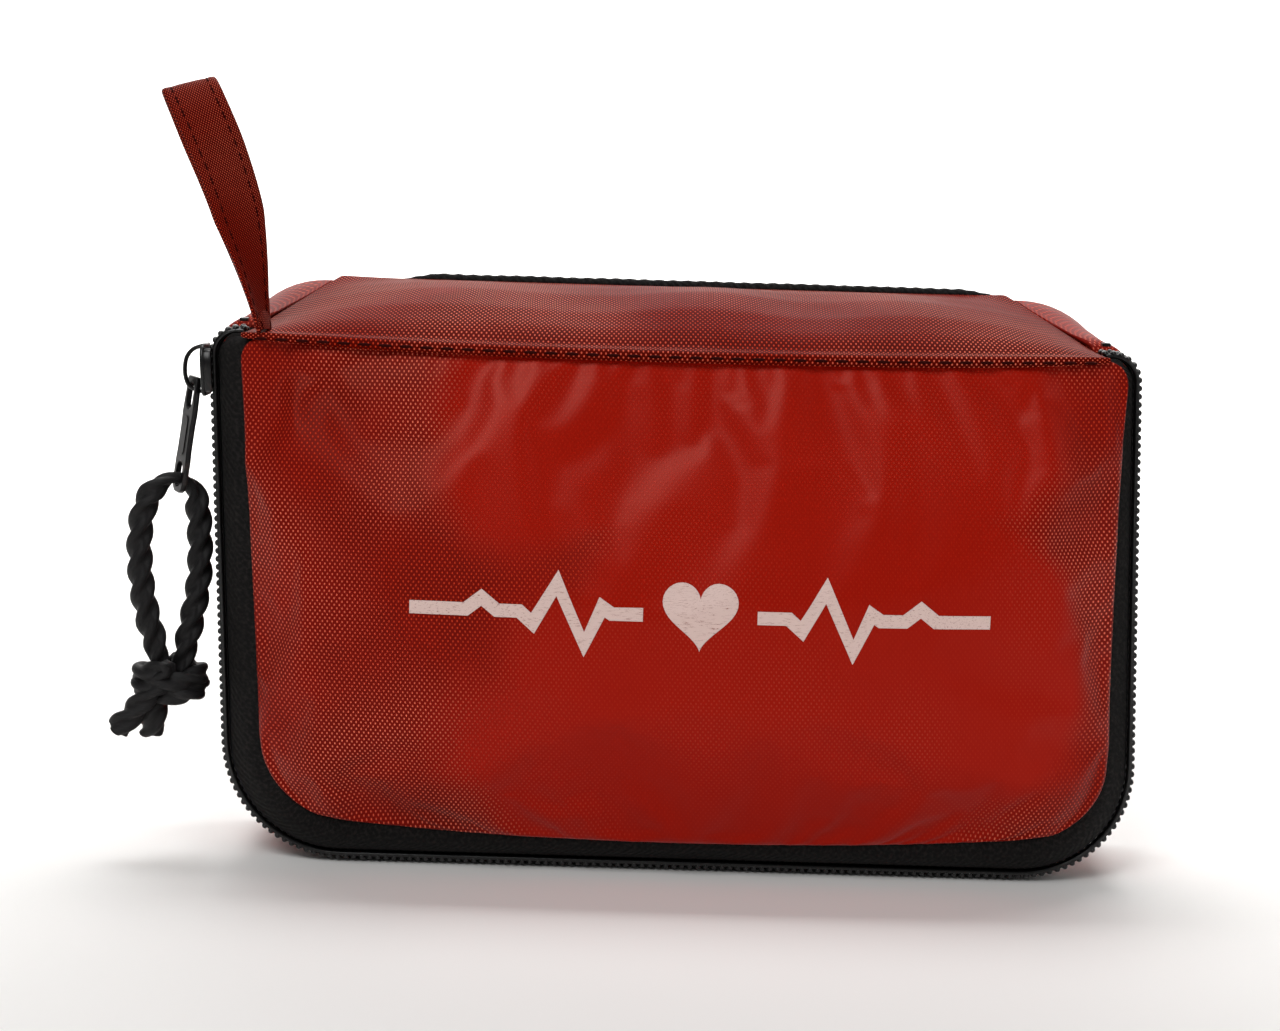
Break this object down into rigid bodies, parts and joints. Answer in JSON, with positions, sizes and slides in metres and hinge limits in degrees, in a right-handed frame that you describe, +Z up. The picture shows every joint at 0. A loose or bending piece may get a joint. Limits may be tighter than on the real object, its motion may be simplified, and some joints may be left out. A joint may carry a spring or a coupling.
{
  "type": "first aid kit",
  "caption": "Soft zipped pouch that stands on its long edge, with a hang loop, a cord on the zip pull, and first aid supplies inside.",
  "frame": {"origin": "on the flat underside, in the middle of the width, under the middle of the depth", "axes": "+Z up, +X along the bag's width to its right as seen from the front, the front panel faces -Y"},
  "size_m": [0.2013, 0.0464, 0.1523],
  "materials": {
    "red_cloth": "coated woven polyester, half gloss",
    "zip_tape": "matt twill tape",
    "zip_coil": "smooth nylon coil",
    "black_metal": "black lacquered die casting",
    "cord": "twisted polypropylene",
    "net": "knitted net and elastic",
    "paper": "printed paper",
    "gauze": "woven cotton",
    "wrap": "clear and printed film",
    "foil": "metallised film",
    "glove_bag": "film bag",
    "plaster_box": "paper wrappers",
    "card": "card tube",
    "steel": "polished stainless steel"
  },
  "bodies": {
    "back_half": {"back_panel": "red_cloth", "side_wall": "red_cloth", "back_tape": "zip_tape", "back_coil": "zip_coil", "top_binding": "zip_tape", "zip_stop_left": "black_metal", "zip_stop_right": "black_metal", "back_pocket": "net", "back_pocket_edge": "net", "bandage_roll_1": "gauze", "bandage_roll_2": "gauze", "tape_core": "card", "tape_roll": "gauze", "gauze_pack_1": "paper", "gauze_pack_2": "paper", "gauze_pack_3": "paper", "plaster_pack": "plaster_box", "triangular_bandage": "wrap", "foil_blanket": "foil", "glove_pack": "glove_bag", "wound_dressing": "wrap", "scissors_fixed_half": "steel", "scissors_rivet": "steel", "tweezers_fixed_leg": "steel"},
    "front_half": {"front_panel": "red_cloth", "top_gusset": "red_cloth", "front_tape": "zip_tape", "front_coil": "zip_coil", "front_pocket": "net", "front_pocket_edge": "net", "leaflet": "paper", "wipe_sachet_1": "wrap", "wipe_sachet_2": "wrap", "wipe_sachet_3": "wrap", "safety_pin_1": "steel", "safety_pin_2": "steel"},
    "loop": {"hang_loop": "red_cloth"},
    "slider": {"zip_slider": "black_metal", "slider_inner_plate": "black_metal", "slider_bail": "black_metal"},
    "pull": {"pull_tab": "black_metal"},
    "cord": {"pull_cord": "cord", "cord_knot": "cord", "cord_tail_1": "cord", "cord_tail_2": "cord"},
    "scissors_half": {"scissors_moving_half": "steel"},
    "tweezers_leg": {"tweezers_moving_leg": "steel"}
  },
  "joints": [
    {"name": "front_open", "type": "hinge", "parent": "back_half", "child": "front_half", "pos_m": [0, 0.0218, 0.1141], "axis": [-1, 0, 0], "range_deg": [0, 180]},
    {"name": "slider_travel", "type": "slide", "parent": "back_half", "child": "slider", "axis": [0.0375, 0, -0.9993], "range_m": [0, 0.06]},
    {"name": "pull_swing", "type": "hinge", "parent": "slider", "child": "pull", "pos_m": [-0.09395, -0.006, 0.09349], "axis": [0, 1, 0], "range_deg": [0, 110]},
    {"name": "cord_swing", "type": "hinge", "parent": "pull", "child": "cord", "pos_m": [-0.09654, -0.006, 0.07502], "axis": [1, 0, 0], "range_deg": [-12, 25]},
    {"name": "loop_flex", "type": "hinge", "parent": "front_half", "child": "loop", "pos_m": [-0.08009, -0.013, 0.1054], "axis": [0.9285, 0.2488, 0.2756], "range_deg": [-60, 75], "stiffness_Nm_per_rad": 0.02},
    {"name": "scissors_open", "type": "hinge", "parent": "back_half", "child": "scissors_half", "pos_m": [0.033, -0.003, 0.05], "axis": [0, -1, 0], "range_deg": [0, 30]},
    {"name": "tweezers_squeeze", "type": "hinge", "parent": "back_half", "child": "tweezers_leg", "pos_m": [-0.0215, -0.003, 0.08], "axis": [0, 1, 0], "range_deg": [0, 4], "stiffness_Nm_per_rad": 0.5}
  ]
}
